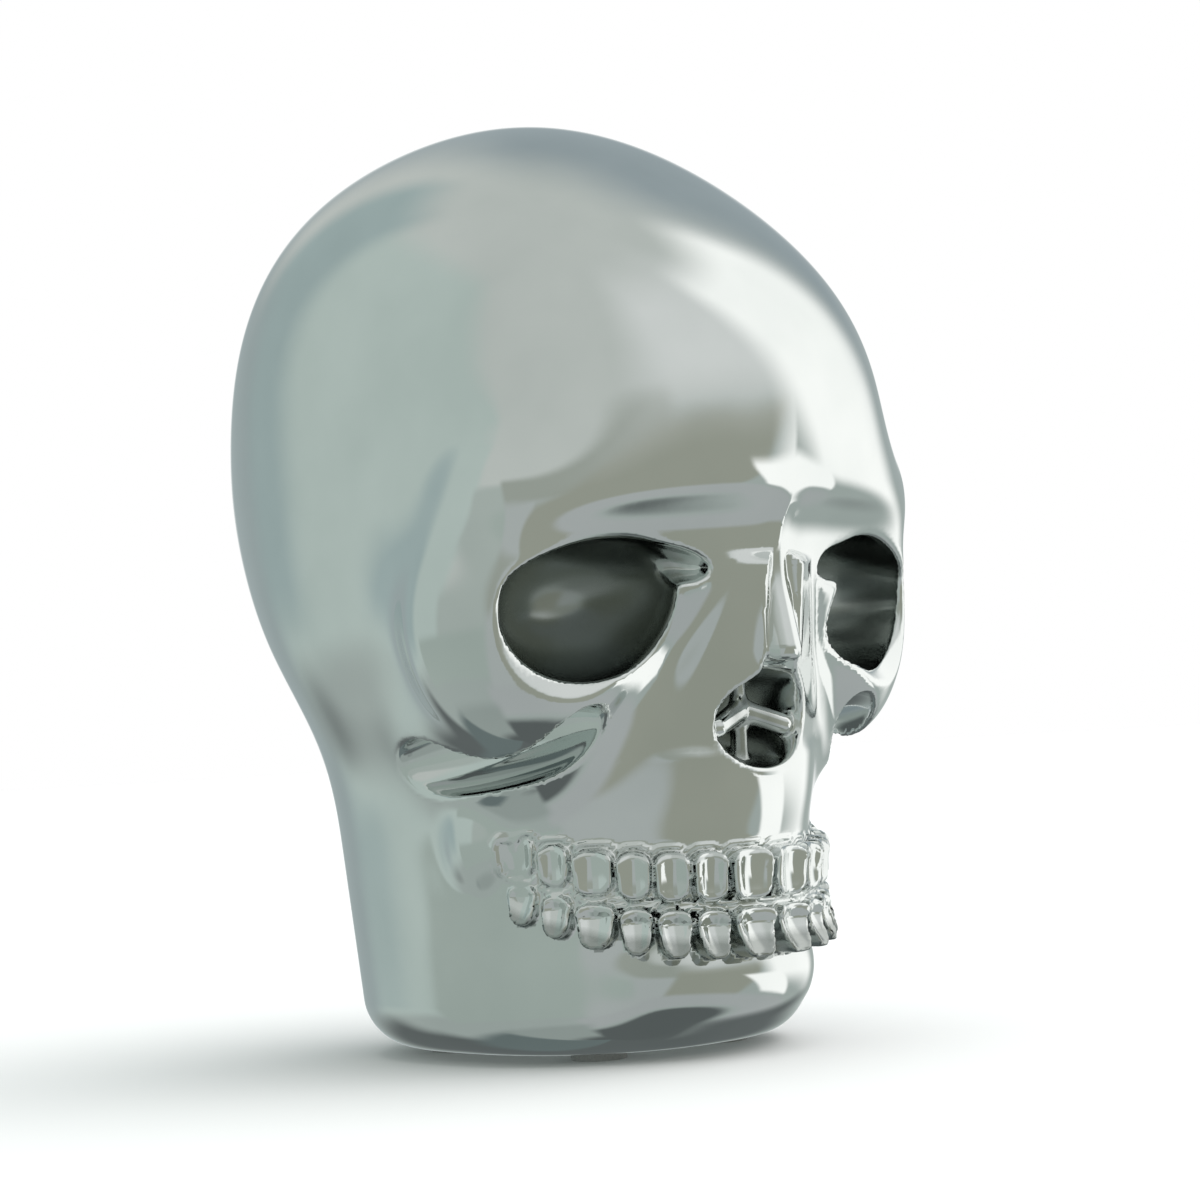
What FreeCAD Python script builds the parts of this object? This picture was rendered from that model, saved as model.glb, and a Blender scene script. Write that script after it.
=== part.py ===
import FreeCAD, Part
import math
import os

# Decorative skull ornament: one hollow slip-cast ceramic shell with a mirror-plated glaze,
# standing on four felt pads. Millimetres, +Z up, the face looks along -Y, and the skull's own
# left and right are mirror images across X = 0. Inside this file the skull is drawn with z = 0 at
# its underside, and everything is then moved so that the origin is under the middle of the
# bounding box, at the bottom of the felt pads.

# ---------------------------------------------------------------- driving dimensions
SHELL_HEIGHT = 170.0
WALL = 5.0                    # slip-cast wall
FELT_THICKNESS = 1.5
FELT_RADIUS = 5.0
BOX_MIDDLE_Y = -3.36          # middle of the shell, front to back, before it is moved

# Head: half width, front depth and back depth, read at five levels of the unit direction's z.
LEVELS = (-0.8, -0.4, 0.0, 0.4, 0.8)
HEAD_CENTRE_Y = -1.5
HEAD_CENTRE_Z = 101.0
HEAD_HALF_WIDTH = (50.1, 53.3, 51.8, 55.1, 59.9)
HEAD_FRONT = (56.3, 62.7, 69.6, 72.1, 65.0)
HEAD_BACK = (47.6, 56.7, 66.5, 64.7, 68.0)
HEAD_REACH_DOWN = 72.0
HEAD_FULLNESS = 0.04          # how far the plan is fuller than an ellipse at its diagonals
FOREHEAD_FULLNESS = -0.15     # the same, growing towards the front

# Jaw: an upright superellipse column; each size is the value at z = 0 and its growth per 50 mm.
JAW_HALF_WIDTH = (36.2, 2.7)
JAW_FRONT = (50.8, 3.2)
JAW_BACK = (32.7, 6.1)
JAW_POWER = 2.25
JAW_TOP = 62.0
JAW_BLEND = 11.8
BASE_ROUNDING = 8.9

CHEEK_CENTRE = (39.0, -41.5, 75.8)
CHEEK_RADII = (19.0, 12.4, 21.9)
CHEEK_TURN = 38.0
CHEEK_BLEND = 24.0
UPPER_JAW_CENTRE = (0.0, -39.4, 52.0)
UPPER_JAW_RADII = (22.9, 21.6, 30.0)
BROW_INNER = (8.0, -58.0, 99.0)
BROW_OUTER = (41.0, -44.0, 98.0)
BROW_RADIUS = (8.0, 8.6)
NOSE_TOP = (0.0, -58.0, 88.0)
NOSE_TIP = (0.0, -65.0, 70.0)
NOSE_RADIUS = (3.5, 4.0)
MOUTH_CENTRE = (0.0, -17.0, 28.0)
MOUTH_RADII = (36.0, 43.0, 17.0)
CHIN_CENTRE = (0.0, -42.0, 13.0)
CHIN_RADII = (22.0, 15.0, 12.0)

# Hollows: centre, radii, turn about Z and dip of the outer end.
EYE_CENTRE = (33.0, -51.0, 78.5)
EYE_RADII = (16.0, 22.0, 13.5)
EYE_RIM_RADII = (17.5, 9.0, 15.0)
EYE_RIM_DROP = 1.5
EYE_TURN = 25.0
EYE_DIP = 10.0
NOSTRIL_CENTRE = (0.0, -62.0, 58.0)
NOSTRIL_RADII = (10.5, 13.0, 9.0)
NOSTRIL_PEAK_CENTRE = (0.0, -63.0, 60.5)
NOSTRIL_PEAK_RADII = (6.0, 12.0, 7.0)
CHEEK_HOLLOW_CENTRE = (42.5, -31.0, 54.0)
CHEEK_HOLLOW_RADII = (20.5, 8.0, 6.8)
CHEEK_HOLLOW_TURN = 56.0
CHEEK_HOLLOW_DIP = -12.0

# Teeth: rounded blocks along an elliptic arch around the mouth, sunk into it but clear of the cavity.
ARCH_CENTRE_Y = -17.0
ARCH_HALF_WIDTH = 36.2
ARCH_DEPTH = 42.6
BITE_Z = 25.3                 # where the rows meet at the middle
BITE_RISE = 10.0              # how much higher they meet at the ends of the rows
ARCH_END_ANGLE = 79.4
TOOTH_WIDTHS = (8.2, 6.1, 6.0, 5.7, 6.9, 5.5, 5.8)      # one side, from the middle outward
TOOTH_SPACE = 0.5             # between neighbours, along the arch
TOOTH_DEPTH = 4.6
UPPER_TOOTH_HEIGHT = 10.5
LOWER_TOOTH_HEIGHT = 8.5
TOOTH_ROUNDING = 1.6
BITE_GAP = 0.4

# Underside: a shallow recess leaves a foot rim, and the vent hole opens into the cavity.
BASE_MIDDLE_Y = -9.5
RECESS_HALF_WIDTH = 15.0
RECESS_HALF_DEPTH = 19.0
RECESS_HEIGHT = 3.0
CAVITY_FLOOR_Z = 8.5
VENT_RADIUS = 6.0
PAD_X = 15.0
PAD_Y_FROM_MIDDLE = 19.5

# Sections: how finely the shell is drawn.
OUTER_RAYS = 72
CAVITY_RAYS = 48
SECTION_STEP = 4.6
RAY_REACH = 90.0
CAVITY_BLEND = 14.0
LOWEST_READING = 0.002        # the underside itself is on the form, so it is read just above


# ---------------------------------------------------------------- fields
# Each field is negative inside the form and grows by about 1 per millimetre.

def blend_min(a, b, k):
    h = max(k - abs(a - b), 0.0) / k
    return min(a, b) - h * h * h * k / 6.0


def blend_max(a, b, k):
    return -blend_min(-a, -b, k)


def ellipsoid_field(p, centre, radii):
    q = [(p[i] - centre[i]) / radii[i] for i in range(3)]
    reach = math.sqrt(sum(c * c for c in q)) + 1e-9
    slope = math.sqrt(sum((q[i] / radii[i]) ** 2 for i in range(3))) + 1e-9
    return reach * (reach - 1.0) / slope


def capsule_field(p, start, end, radii):
    axis = [end[i] - start[i] for i in range(3)]
    along = sum((p[i] - start[i]) * axis[i] for i in range(3)) / sum(c * c for c in axis)
    along = min(max(along, 0.0), 1.0)
    gap = math.sqrt(sum((p[i] - start[i] - along * axis[i]) ** 2 for i in range(3)))
    return gap - (radii[0] + (radii[1] - radii[0]) * along)


def local_axes(turn, dip):
    """Right-handed axes turned about Z, with the x axis then dipped downward."""
    ct, st = math.cos(math.radians(turn)), math.sin(math.radians(turn))
    cd, sd = math.cos(math.radians(dip)), math.sin(math.radians(dip))
    return ((ct * cd, st * cd, -sd), (-st, ct, 0.0), (ct * sd, st * sd, cd))


def turned_ellipsoid_field(p, centre, radii, turn, dip):
    q = [p[i] - centre[i] for i in range(3)]
    local = [sum(q[i] * axis[i] for i in range(3)) for axis in local_axes(turn, dip)]
    return ellipsoid_field(local, (0.0, 0.0, 0.0), radii)


def between_levels(u, values):
    """The quartic through the five level values."""
    total = 0.0
    for i, value in enumerate(values):
        weight = value
        for j, level in enumerate(LEVELS):
            if j != i:
                weight *= (u - level) / (LEVELS[i] - level)
        total += weight
    return total


def head_field(p):
    q = (p[0], p[1] - HEAD_CENTRE_Y, p[2] - HEAD_CENTRE_Z)
    reach = math.sqrt(sum(c * c for c in q)) + 1e-9
    x, y, u = q[0] / reach, q[1] / reach, q[2] / reach
    side = 1.0 / between_levels(u, HEAD_HALF_WIDTH) ** 2
    front = 1.0 / between_levels(u, HEAD_FRONT) ** 2
    back = 1.0 / between_levels(u, HEAD_BACK) ** 2
    upright = SHELL_HEIGHT - HEAD_CENTRE_Z if u > 0 else HEAD_REACH_DOWN
    fullness = HEAD_FULLNESS + FOREHEAD_FULLNESS * y
    gauge = x * x * side + y * y * ((front + back) / 2 + y * (back - front) / 2) + (u / upright) ** 2
    gauge *= 1.0 - 4.0 * fullness * x * x * y * y
    return (reach - 1.0 / math.sqrt(gauge)) * 0.96


def jaw_field(p):
    growth = p[2] / 50.0
    half_width = JAW_HALF_WIDTH[0] + JAW_HALF_WIDTH[1] * growth
    front = JAW_FRONT[0] + JAW_FRONT[1] * growth
    back = JAW_BACK[0] + JAW_BACK[1] * growth
    y = p[1] - (back - front) / 2
    half_depth = (back + front) / 2
    power = JAW_POWER
    gauge = (abs(p[0]) / half_width) ** power + (abs(y) / half_depth) ** power
    gauge = gauge ** (1.0 / power) + 1e-9
    wall = math.hypot(p[0], y) * (1.0 - 1.0 / gauge)
    return blend_max(wall, p[2] - JAW_TOP, 10.0)


def rounded_base(field, z):
    """Cuts the form at z = 0 and rounds the edge that this leaves."""
    a = field + BASE_ROUNDING
    b = BASE_ROUNDING - z
    return min(max(a, b), 0.0) + math.hypot(max(a, 0.0), max(b, 0.0)) - BASE_ROUNDING


def outer_field(p):
    """The skull without its hollows and teeth."""
    side = (abs(p[0]), p[1], p[2])
    d = blend_min(head_field(p), jaw_field(p), JAW_BLEND)
    cheek = turned_ellipsoid_field(side, CHEEK_CENTRE, CHEEK_RADII, CHEEK_TURN, 0.0)
    d = blend_min(d, cheek, CHEEK_BLEND)
    d = blend_min(d, ellipsoid_field(p, UPPER_JAW_CENTRE, UPPER_JAW_RADII), 10.0)
    d = blend_min(d, capsule_field(side, BROW_INNER, BROW_OUTER, BROW_RADIUS), 14.0)
    d = blend_min(d, capsule_field(p, NOSE_TOP, NOSE_TIP, NOSE_RADIUS), 8.0)
    d = blend_min(d, ellipsoid_field(p, MOUTH_CENTRE, MOUTH_RADII), 8.0)
    d = blend_min(d, ellipsoid_field(p, CHIN_CENTRE, CHIN_RADII), 8.0)
    return rounded_base(d, p[2])


def cavity_field(p):
    """The inside of the casting: one wall in from the skull, and clear of every hollow."""
    side = (abs(p[0]), p[1], p[2])
    d = outer_field(p) + WALL
    hollows = (
        turned_ellipsoid_field(side, EYE_CENTRE, EYE_RADII, EYE_TURN, EYE_DIP),
        ellipsoid_field(p, NOSTRIL_CENTRE, NOSTRIL_RADII),
        turned_ellipsoid_field(side, CHEEK_HOLLOW_CENTRE, CHEEK_HOLLOW_RADII,
                               CHEEK_HOLLOW_TURN, CHEEK_HOLLOW_DIP))
    for hollow in hollows:
        d = blend_max(d, WALL - hollow, CAVITY_BLEND)
    return d


# ---------------------------------------------------------------- solids

def section_middle_y(z):
    """A point on this line is inside every horizontal section."""
    return BASE_MIDDLE_Y * (1.0 - z / SHELL_HEIGHT)


def edge_distance(field, z, turn):
    """How far the form reaches at height z in the plan direction turn (0 is the front)."""
    middle = section_middle_y(z)
    sx, sy = math.sin(turn), -math.cos(turn)

    def at(distance):
        return field((distance * sx, middle + distance * sy, z))

    step = 2.0
    inside = 0.0
    while at(inside + step) < 0.0 and inside < RAY_REACH:
        inside += step
    outside = inside + step
    for _ in range(22):
        trial = (inside + outside) / 2
        if at(trial) < 0.0:
            inside = trial
        else:
            outside = trial
    return inside


def section_wire(field, z, rays):
    """A closed smooth wire of one horizontal section; the rays crowd towards the face."""
    middle = section_middle_y(z)
    half = []
    for i in range(rays // 2 + 1):
        even = math.pi * 2 * i / rays
        turn = even - 0.5 * math.sin(even)
        reach = edge_distance(field, max(z, LOWEST_READING), turn)
        half.append((reach * math.sin(turn), middle - reach * math.cos(turn)))
    right = [FreeCAD.Vector(x, y, z) for x, y in half]
    left = [FreeCAD.Vector(-x, y, z) for x, y in reversed(half[1:-1])]
    curve = Part.BSplineCurve()
    knots = [i / rays for i in range(rays + 1)]
    curve.interpolate(Points=right + left, PeriodicFlag=True, Parameters=knots)
    return Part.Wire([curve.toShape()])


def top_of(field):
    """Height of the form above the head's centre line."""
    low, high = HEAD_CENTRE_Z, SHELL_HEIGHT + 5.0
    for _ in range(30):
        trial = (low + high) / 2
        if field((0.0, section_middle_y(trial), trial)) < 0.0:
            low = trial
        else:
            high = trial
    return low


def lofted(field, heights, rays):
    top = top_of(field)
    wires = [section_wire(field, z, rays) for z in heights]
    tip = Part.Vertex(FreeCAD.Vector(0.0, section_middle_y(top), top))
    return Part.makeLoft(wires + [tip], True, False)


def heights_between(low, high, step):
    count = max(int(round((high - low) / step)), 1)
    return [low + (high - low) * i / count for i in range(count)]


def dome_heights(top, steps):
    rise = top - HEAD_CENTRE_Z
    return [HEAD_CENTRE_Z + rise * math.sin(math.pi / 2 * i / steps) for i in range(steps)]


def outer_solid():
    rounding = [BASE_ROUNDING * (1.0 - math.cos(math.radians(a))) for a in range(0, 90, 15)]
    wall = heights_between(BASE_ROUNDING, HEAD_CENTRE_Z, SECTION_STEP)
    return lofted(outer_field, rounding + wall + dome_heights(top_of(outer_field), 16), OUTER_RAYS)


def cavity_solid():
    wall = heights_between(CAVITY_FLOOR_Z, HEAD_CENTRE_Z, SECTION_STEP)
    return lofted(cavity_field, wall + dome_heights(top_of(cavity_field), 12), CAVITY_RAYS)


def ellipsoid(centre, radii, turn=0.0, dip=0.0):
    axes = local_axes(turn, dip)
    place = FreeCAD.Matrix()
    rows = [[axes[c][r] * radii[c] for c in range(3)] + [centre[r]] for r in range(3)]
    place.A = tuple(rows[0] + rows[1] + rows[2] + [0.0, 0.0, 0.0, 1.0])
    return Part.makeSphere(1.0).transformGeometry(place)


def with_mirror_image(shape):
    return [shape, shape.mirror(FreeCAD.Vector(0, 0, 0), FreeCAD.Vector(1, 0, 0))]


def face_hollows():
    rim_centre = (EYE_CENTRE[0], EYE_CENTRE[1], EYE_CENTRE[2] - EYE_RIM_DROP)
    eye = ellipsoid(EYE_CENTRE, EYE_RADII, EYE_TURN, EYE_DIP)
    rim = ellipsoid(rim_centre, EYE_RIM_RADII, EYE_TURN, EYE_DIP)
    cheek = ellipsoid(CHEEK_HOLLOW_CENTRE, CHEEK_HOLLOW_RADII, CHEEK_HOLLOW_TURN, CHEEK_HOLLOW_DIP)
    nostril = ellipsoid(NOSTRIL_CENTRE, NOSTRIL_RADII)
    peak = ellipsoid(NOSTRIL_PEAK_CENTRE, NOSTRIL_PEAK_RADII)
    return with_mirror_image(eye) + with_mirror_image(rim) + with_mirror_image(cheek) + [nostril, peak]


def tooth(arch_angle, width, height, above):
    """A rounded block whose outer face follows the arch, above or below the bite line."""
    a = math.radians(arch_angle)
    x = ARCH_HALF_WIDTH * math.sin(a)
    y = ARCH_CENTRE_Y - ARCH_DEPTH * math.cos(a)
    facing = math.degrees(math.atan2(ARCH_DEPTH * math.sin(a), ARCH_HALF_WIDTH * math.cos(a)))
    bite = BITE_Z + BITE_RISE * (arch_angle / ARCH_END_ANGLE) ** 2
    base = bite + BITE_GAP / 2 if above else bite - BITE_GAP / 2 - height
    block = Part.makeBox(width, TOOTH_DEPTH, height, FreeCAD.Vector(-width / 2, -TOOTH_DEPTH / 2, 0.0))
    block = block.makeFillet(TOOTH_ROUNDING, block.Edges)
    block.rotate(FreeCAD.Vector(0, 0, 0), FreeCAD.Vector(0, 0, 1), facing)
    block.translate(FreeCAD.Vector(x, y, base))
    return block


def arch_angles():
    """Angles that place the teeth of one side next to each other along the arch."""
    samples = [ARCH_END_ANGLE * i / 400 for i in range(401)]
    lengths = [0.0]
    for a, b in zip(samples, samples[1:]):
        dx = ARCH_HALF_WIDTH * (math.sin(math.radians(b)) - math.sin(math.radians(a)))
        dy = ARCH_DEPTH * (math.cos(math.radians(b)) - math.cos(math.radians(a)))
        lengths.append(lengths[-1] + math.hypot(dx, dy))
    angles = []
    start = TOOTH_SPACE / 2
    for width in TOOTH_WIDTHS:
        middle = start + width / 2
        angles.append(next(s for s, length in zip(samples, lengths) if length >= middle))
        start += width + TOOTH_SPACE
    return angles


def teeth():
    blocks = []
    for angle, width in zip(arch_angles(), TOOTH_WIDTHS):
        for signed in (angle, -angle):
            blocks.append(tooth(signed, width, UPPER_TOOTH_HEIGHT, True))
            blocks.append(tooth(signed, width, LOWER_TOOTH_HEIGHT, False))
    return blocks


def underside_recess():
    plan = Part.Ellipse(FreeCAD.Vector(0, RECESS_HALF_DEPTH, 0), FreeCAD.Vector(RECESS_HALF_WIDTH, 0, 0),
                        FreeCAD.Vector(0, 0, 0))
    face = Part.Face(Part.Wire([plan.toShape()]))
    recess = face.extrude(FreeCAD.Vector(0, 0, RECESS_HEIGHT + 1.0))
    recess.translate(FreeCAD.Vector(0, BASE_MIDDLE_Y, -1.0))
    return recess


def skull_shell():
    skull = outer_solid()
    vent = Part.makeCylinder(VENT_RADIUS, CAVITY_FLOOR_Z + 2.0, FreeCAD.Vector(0, BASE_MIDDLE_Y, -1.0))
    for hollow in face_hollows() + [cavity_solid(), underside_recess(), vent]:
        skull = skull.cut(hollow)
    for block in teeth():
        skull = skull.fuse(block)
    return skull.Solids[0]


def felt_pads():
    pads = {}
    for end, sign_y in (("front", -1), ("rear", 1)):
        for side, sign_x in (("left", -1), ("right", 1)):
            corner = FreeCAD.Vector(sign_x * PAD_X, BASE_MIDDLE_Y + sign_y * PAD_Y_FROM_MIDDLE,
                                    -FELT_THICKNESS)
            pads["felt_pad_" + end + "_" + side] = Part.makeCylinder(FELT_RADIUS, FELT_THICKNESS, corner)
    return pads


def main():
    os.makedirs("parts", exist_ok=True)
    nodes = {"skull_shell": skull_shell()}
    nodes.update(felt_pads())
    for name, shape in nodes.items():
        shape.translate(FreeCAD.Vector(0.0, -BOX_MIDDLE_Y, FELT_THICKNESS))
        shape.exportStep("parts/" + name + ".step")
        box = shape.optimalBoundingBox()
        print(name, "valid" if shape.isValid() else "NOT VALID", len(shape.Solids), "solid,",
              round(shape.Volume / 1000.0, 2), "cm3, box",
              [round(v, 2) for v in (box.XMin, box.YMin, box.ZMin, box.XMax, box.YMax, box.ZMax)])


main()
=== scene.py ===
import math

import bpy
import numpy as np
from mathutils import Matrix, Vector


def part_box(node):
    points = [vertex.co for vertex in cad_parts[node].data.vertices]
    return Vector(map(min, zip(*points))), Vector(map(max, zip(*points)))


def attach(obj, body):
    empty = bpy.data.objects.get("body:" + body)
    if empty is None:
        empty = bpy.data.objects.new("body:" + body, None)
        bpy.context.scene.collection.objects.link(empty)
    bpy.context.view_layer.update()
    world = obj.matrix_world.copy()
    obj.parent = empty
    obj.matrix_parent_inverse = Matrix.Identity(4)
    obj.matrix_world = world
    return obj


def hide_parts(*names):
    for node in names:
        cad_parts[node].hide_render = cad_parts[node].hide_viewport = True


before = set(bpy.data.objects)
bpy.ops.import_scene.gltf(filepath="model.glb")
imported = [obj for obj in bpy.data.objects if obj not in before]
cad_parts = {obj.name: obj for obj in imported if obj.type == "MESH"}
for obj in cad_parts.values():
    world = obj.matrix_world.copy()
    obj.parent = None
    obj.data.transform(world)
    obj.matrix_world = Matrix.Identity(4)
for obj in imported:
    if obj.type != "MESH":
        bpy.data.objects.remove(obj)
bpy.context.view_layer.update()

# A mirror-plated ceramic skull on four felt pads. The cast shell is drawn as a field over space in
# millimetres, with z = 0 at its underside and the face along -Y, and its zero surface becomes the
# mesh. The field is negative inside and grows by about 1 per millimetre. Places on the face are given
# for the +X side and hold for both sides. Sizes are in millimetres and angles in degrees.

MM = 0.001

# ---------------------------------------------------------------- head and jaw
SHELL_HEIGHT = 170.0
SKULL_MIDDLE_Y = -3.36        # middle of the shell, front to back
LEVELS = (-0.8, -0.4, 0.0, 0.4, 0.8)      # levels of the unit direction's z
HEAD_CENTRE = (0.0, -1.5, 101.0)
HEAD_HALF_WIDTH = (50.1, 53.3, 51.8, 55.1, 59.9)
HEAD_FRONT = (56.3, 62.7, 69.6, 72.1, 65.0)
HEAD_BACK = (47.6, 56.7, 66.5, 64.7, 68.0)
HEAD_REACH_DOWN = 72.0
HEAD_FULLNESS = 0.04          # how far the plan is fuller than an ellipse at its diagonals
FOREHEAD_FULLNESS = -0.15     # its change towards the back, so that the forehead is fuller
HEAD_GROWTH = 0.96            # brings the head's field to about 1 per millimetre
JAW_HALF_WIDTH = (36.2, 2.7)              # at z = 0, and growth over JAW_GROWTH_HEIGHT
JAW_FRONT = (50.8, 3.2)
JAW_BACK = (32.7, 6.1)
JAW_GROWTH_HEIGHT = 50.0
JAW_POWER = 2.25
JAW_TOP = 62.0
JAW_TOP_BLEND = 10.0
JAW_BLEND = 11.8
BASE_ROUNDING = 8.9
BASE_MIDDLE_Y = -9.5

# ---------------------------------------------------------------- forms added to them
# Each blend is how far a form runs into the ones before it.
CHEEK_CENTRE = (41.2, -42.4, 73.7)
CHEEK_RADII = (15.4, 8.7, 17.0)
CHEEK_TURN = 38.0
CHEEK_BLEND = 34.0
JAW_SIDE_CENTRE = (33.0, -26.0, 58.0)
JAW_SIDE_RADII = (9.5, 13.0, 10.0)
JAW_SIDE_BLEND = 18.0
UPPER_JAW_CENTRE = (0.0, -39.4, 52.0)
UPPER_JAW_RADII = (22.9, 21.6, 30.0)
UPPER_JAW_BLEND = 10.0
BROW_INNER = (8.0, -58.0, 99.0)
BROW_OUTER = (41.0, -44.0, 98.0)
BROW_RADIUS = (8.0, 8.6)
BROW_BLEND = 14.0
UNDER_BROW_INNER = (5.0, -74.0, 87.5)     # a groove that leaves the brow as a ledge
UNDER_BROW_OUTER = (47.0, -62.0, 86.0)
UNDER_BROW_RADIUS = (8.0, 8.0)
UNDER_BROW_BLEND = 5.0
NOSE_TOP = (0.0, -61.5, 93.0)
NOSE_TIP = (0.0, -65.6, 69.0)
NOSE_RADIUS = (2.2, 3.3)
NOSE_BLEND = 5.0
MOUTH_CENTRE = (0.0, -17.0, 29.0)
MOUTH_RADII = (33.8, 40.4, 16.0)
MOUTH_BLEND = 7.0
CHIN_CENTRE = (0.0, -42.0, 13.0)
CHIN_RADII = (22.0, 15.0, 12.0)
CHIN_BLEND = 8.0
MOUTH_CORNER_CENTRE = (34.6, -23.5, 38.0)
MOUTH_CORNER_RADII = (5.0, 6.5, 8.0)
MOUTH_CORNER_BLEND = 5.0

# A flat facet beside the nose, from its root down to the corner of the upper jaw. Its outer side
# leans outward on the way down, and its lower side is level.
FACET_NORMAL = (0.52, -0.843, -0.141)
FACET_OFFSET = 47.4
FACET_ROOT_Z = 86.0
FACET_OUTER_SLOPE = 0.52
FACET_OUTER_LEAN = 0.18
FACET_OUTER_OFFSET = 5.2
FACET_BOTTOM_Z = 52.5
FACET_BOTTOM_SLOPE = 0.9
FACET_INNER_X = 3.0
FACET_TOP_Z = 85.0
FACET_BACK_Y = -42.0
FACET_EDGE = 3.4

# ---------------------------------------------------------------- hollows
# Each edge is how far a hollow's rim is rounded.
EYE_CENTRE = (33.0, -51.0, 78.5)
EYE_RADII = (16.0, 22.0, 13.5)
EYE_TURN = 25.0
EYE_DIP = 10.0
EYE_ROOF_Z = 88.9
EYE_ROOF_X = 31.0
EYE_ROOF_ARCH = 0.018
EYE_ROOF_BLEND = 3.5
EYE_CORNER_CENTRE = (22.0, -59.0, 84.4)
EYE_CORNER_RADII = (9.5, 6.0, 3.0)
EYE_CORNER_TURN = 30.0
EYE_CORNER_DIP = -8.0
EYE_CORNER_BLEND = 3.0
EYE_EDGE = 2.4
EYE_LIP_CENTRE = (36.7, -58.8, 75.0)      # a shallow dish around the lower rim
EYE_LIP_RADII = (18.7, 7.2, 15.8)
EYE_LIP_TOP_Z = 83.0
EYE_LIP_BLEND = 6.0
EYE_LIP_EDGE = 1.4
NOSTRIL_CENTRE = (0.0, -62.0, 56.6)
NOSTRIL_RADII = (10.8, 13.0, 8.0)
NOSTRIL_PEAK_CENTRE = (0.0, -64.0, 60.5)
NOSTRIL_PEAK_RADII = (4.2, 12.0, 6.6)
NOSTRIL_PEAK_BLEND = 5.0
NOSTRIL_EDGE = 1.8
NOSE_FOLD_INNER = (1.0, -54.5, 58.5)
NOSE_FOLD_OUTER = (8.0, -56.5, 56.0)
NOSE_FOLD_RADIUS = (2.0, 1.8)
NOSE_WALL_BOTTOM = (0.0, -53.5, 51.0)
NOSE_WALL_TOP = (0.0, -54.0, 64.0)
NOSE_WALL_RADIUS = (1.6, 1.4)
NOSE_INSIDE_BLEND = 2.0
CHEEK_HOLLOW_CENTRE = (38.2, -33.0, 54.2)
CHEEK_HOLLOW_RADII = (25.0, 6.2, 6.8)
CHEEK_HOLLOW_TURN = 75.8
CHEEK_HOLLOW_DIP = 8.0
CHEEK_HOLLOW_EDGE = 1.6
RECESS_HALF_WIDTH = 15.0
RECESS_HALF_DEPTH = 19.0
RECESS_HEIGHT = 3.0
RECESS_EDGE = 1.0
VENT_RADIUS = 6.0
VENT_TOP = 26.0
VENT_EDGE = 0.8

# ---------------------------------------------------------------- teeth
TOOTH_WIDTHS = (8.2, 6.1, 6.0, 5.7, 6.9, 5.5, 5.8)      # one side, from the middle outward
TOOTH_SPACE = 0.5             # between neighbours, along the arch
TOOTH_HALF_DEPTH = 3.2
TOOTH_CORNER = 2.5
TOOTH_DISH = 2.1              # how far a tooth's sides stand in front of its middle
TEETH_BLEND = 1.0
ARCH_CENTRE_Y = -17.0
ARCH_HALF_WIDTH = 34.9
ARCH_DEPTH = 41.3
ARCH_MEAN_RADIUS = 39.0       # brings the arch's gauge to about 1 per millimetre
ARCH_END_ANGLE = 79.4
ARCH_MARGIN = 8.0             # how far past the last tooth the bite line is followed
ARCH_SAMPLES = 401
BITE_Z = 25.3                 # where the rows meet at the middle
BITE_RISE = 9.3               # how much higher they meet at the ends of the rows
BITE_HALF_GAP = 0.6
BITE_RIDGE_RADIUS = 0.55      # two fine ridges along the bite line, one above and one below it
BITE_RIDGE_RISE = 0.45
BITE_RIDGE_SET_BACK = 0.2
BITE_RIDGE_BLEND = 0.8
GUM_RIDGE_RADIUS = 0.3
GUM_RIDGE_AWAY = 1.0          # from the teeth
GUM_RIDGE_LOWEST_Z = 27.0
GUM_RIDGE_BLEND = 1.0
UPPER_HALF_HEIGHT = (4.5, 3.3)            # front tooth and last tooth
UPPER_SET_BACK = 1.8
UPPER_CURVE = 0.03            # the face comes forward away from UPPER_CURVE_Z, as a parabola
UPPER_CURVE_Z = -1.0
UPPER_TAPER = 0.02
UPPER_TOOTH_EDGE = 1.5
LOWER_HALF_HEIGHT = (4.3, 3.2)
LOWER_SET_BACK = 2.4
LOWER_LEAN_Z = 1.6            # the face comes forward away from this level, upward and downward
LOWER_LEAN_UP = 0.55
LOWER_LEAN_DOWN = 0.26
LOWER_CURVE_DOWN = 0.055
LOWER_TAPER = 0.06
LOWER_TAPER_Z = 1.5
LOWER_TOOTH_EDGE = 1.2
TEETH_BOTTOM_Z = 8.0          # the teeth are read only between these levels, in front of TEETH_BACK_Y
TEETH_TOP_Z = 54.0
TEETH_BACK_Y = 4.0
FAR = 30.0                    # the reading where there are no teeth

# Where painted shade darkens the plating: deep in the sockets and the nose, between the teeth, and under
# them.
HOLLOW_MARGIN = 1.0
TOOTH_MARGIN = 0.6
GROOVE_START = 1.0
GROOVE_SHADE = 3.2
UNDERSIDE_DROP = 3.4          # below the bite line
UNDERSIDE_SHADE = 2.0

# ---------------------------------------------------------------- mesh
GRID_STEPS = (1.3, 0.9, 0.6)              # coarse, fine and finest
FACE_STEP_SHARE = 0.85        # part of the fine step, front to back over the face
UPPER_FACE_STEP_SHARE = 0.9   # part of the fine step, upward from the cheek hollows to the brow
GRID_HALF_WIDTH = 60.0
GRID_FRONT = -74.0
GRID_FACE_BACK = -10.0
GRID_BACK = 70.0
GRID_BOTTOM = -2.0
GRID_FINEST_BOTTOM = 9.5
GRID_FINEST_TOP = 45.0
GRID_FACE_TOP = 104.0
GRID_TOP = 173.0
SETTLE_ROUNDS = 2
SETTLE_STEP = 0.05
NORMAL_STEP = 0.08
LEAST_SLOPE_SQUARED = 0.04
TINY = 1e-9

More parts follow.
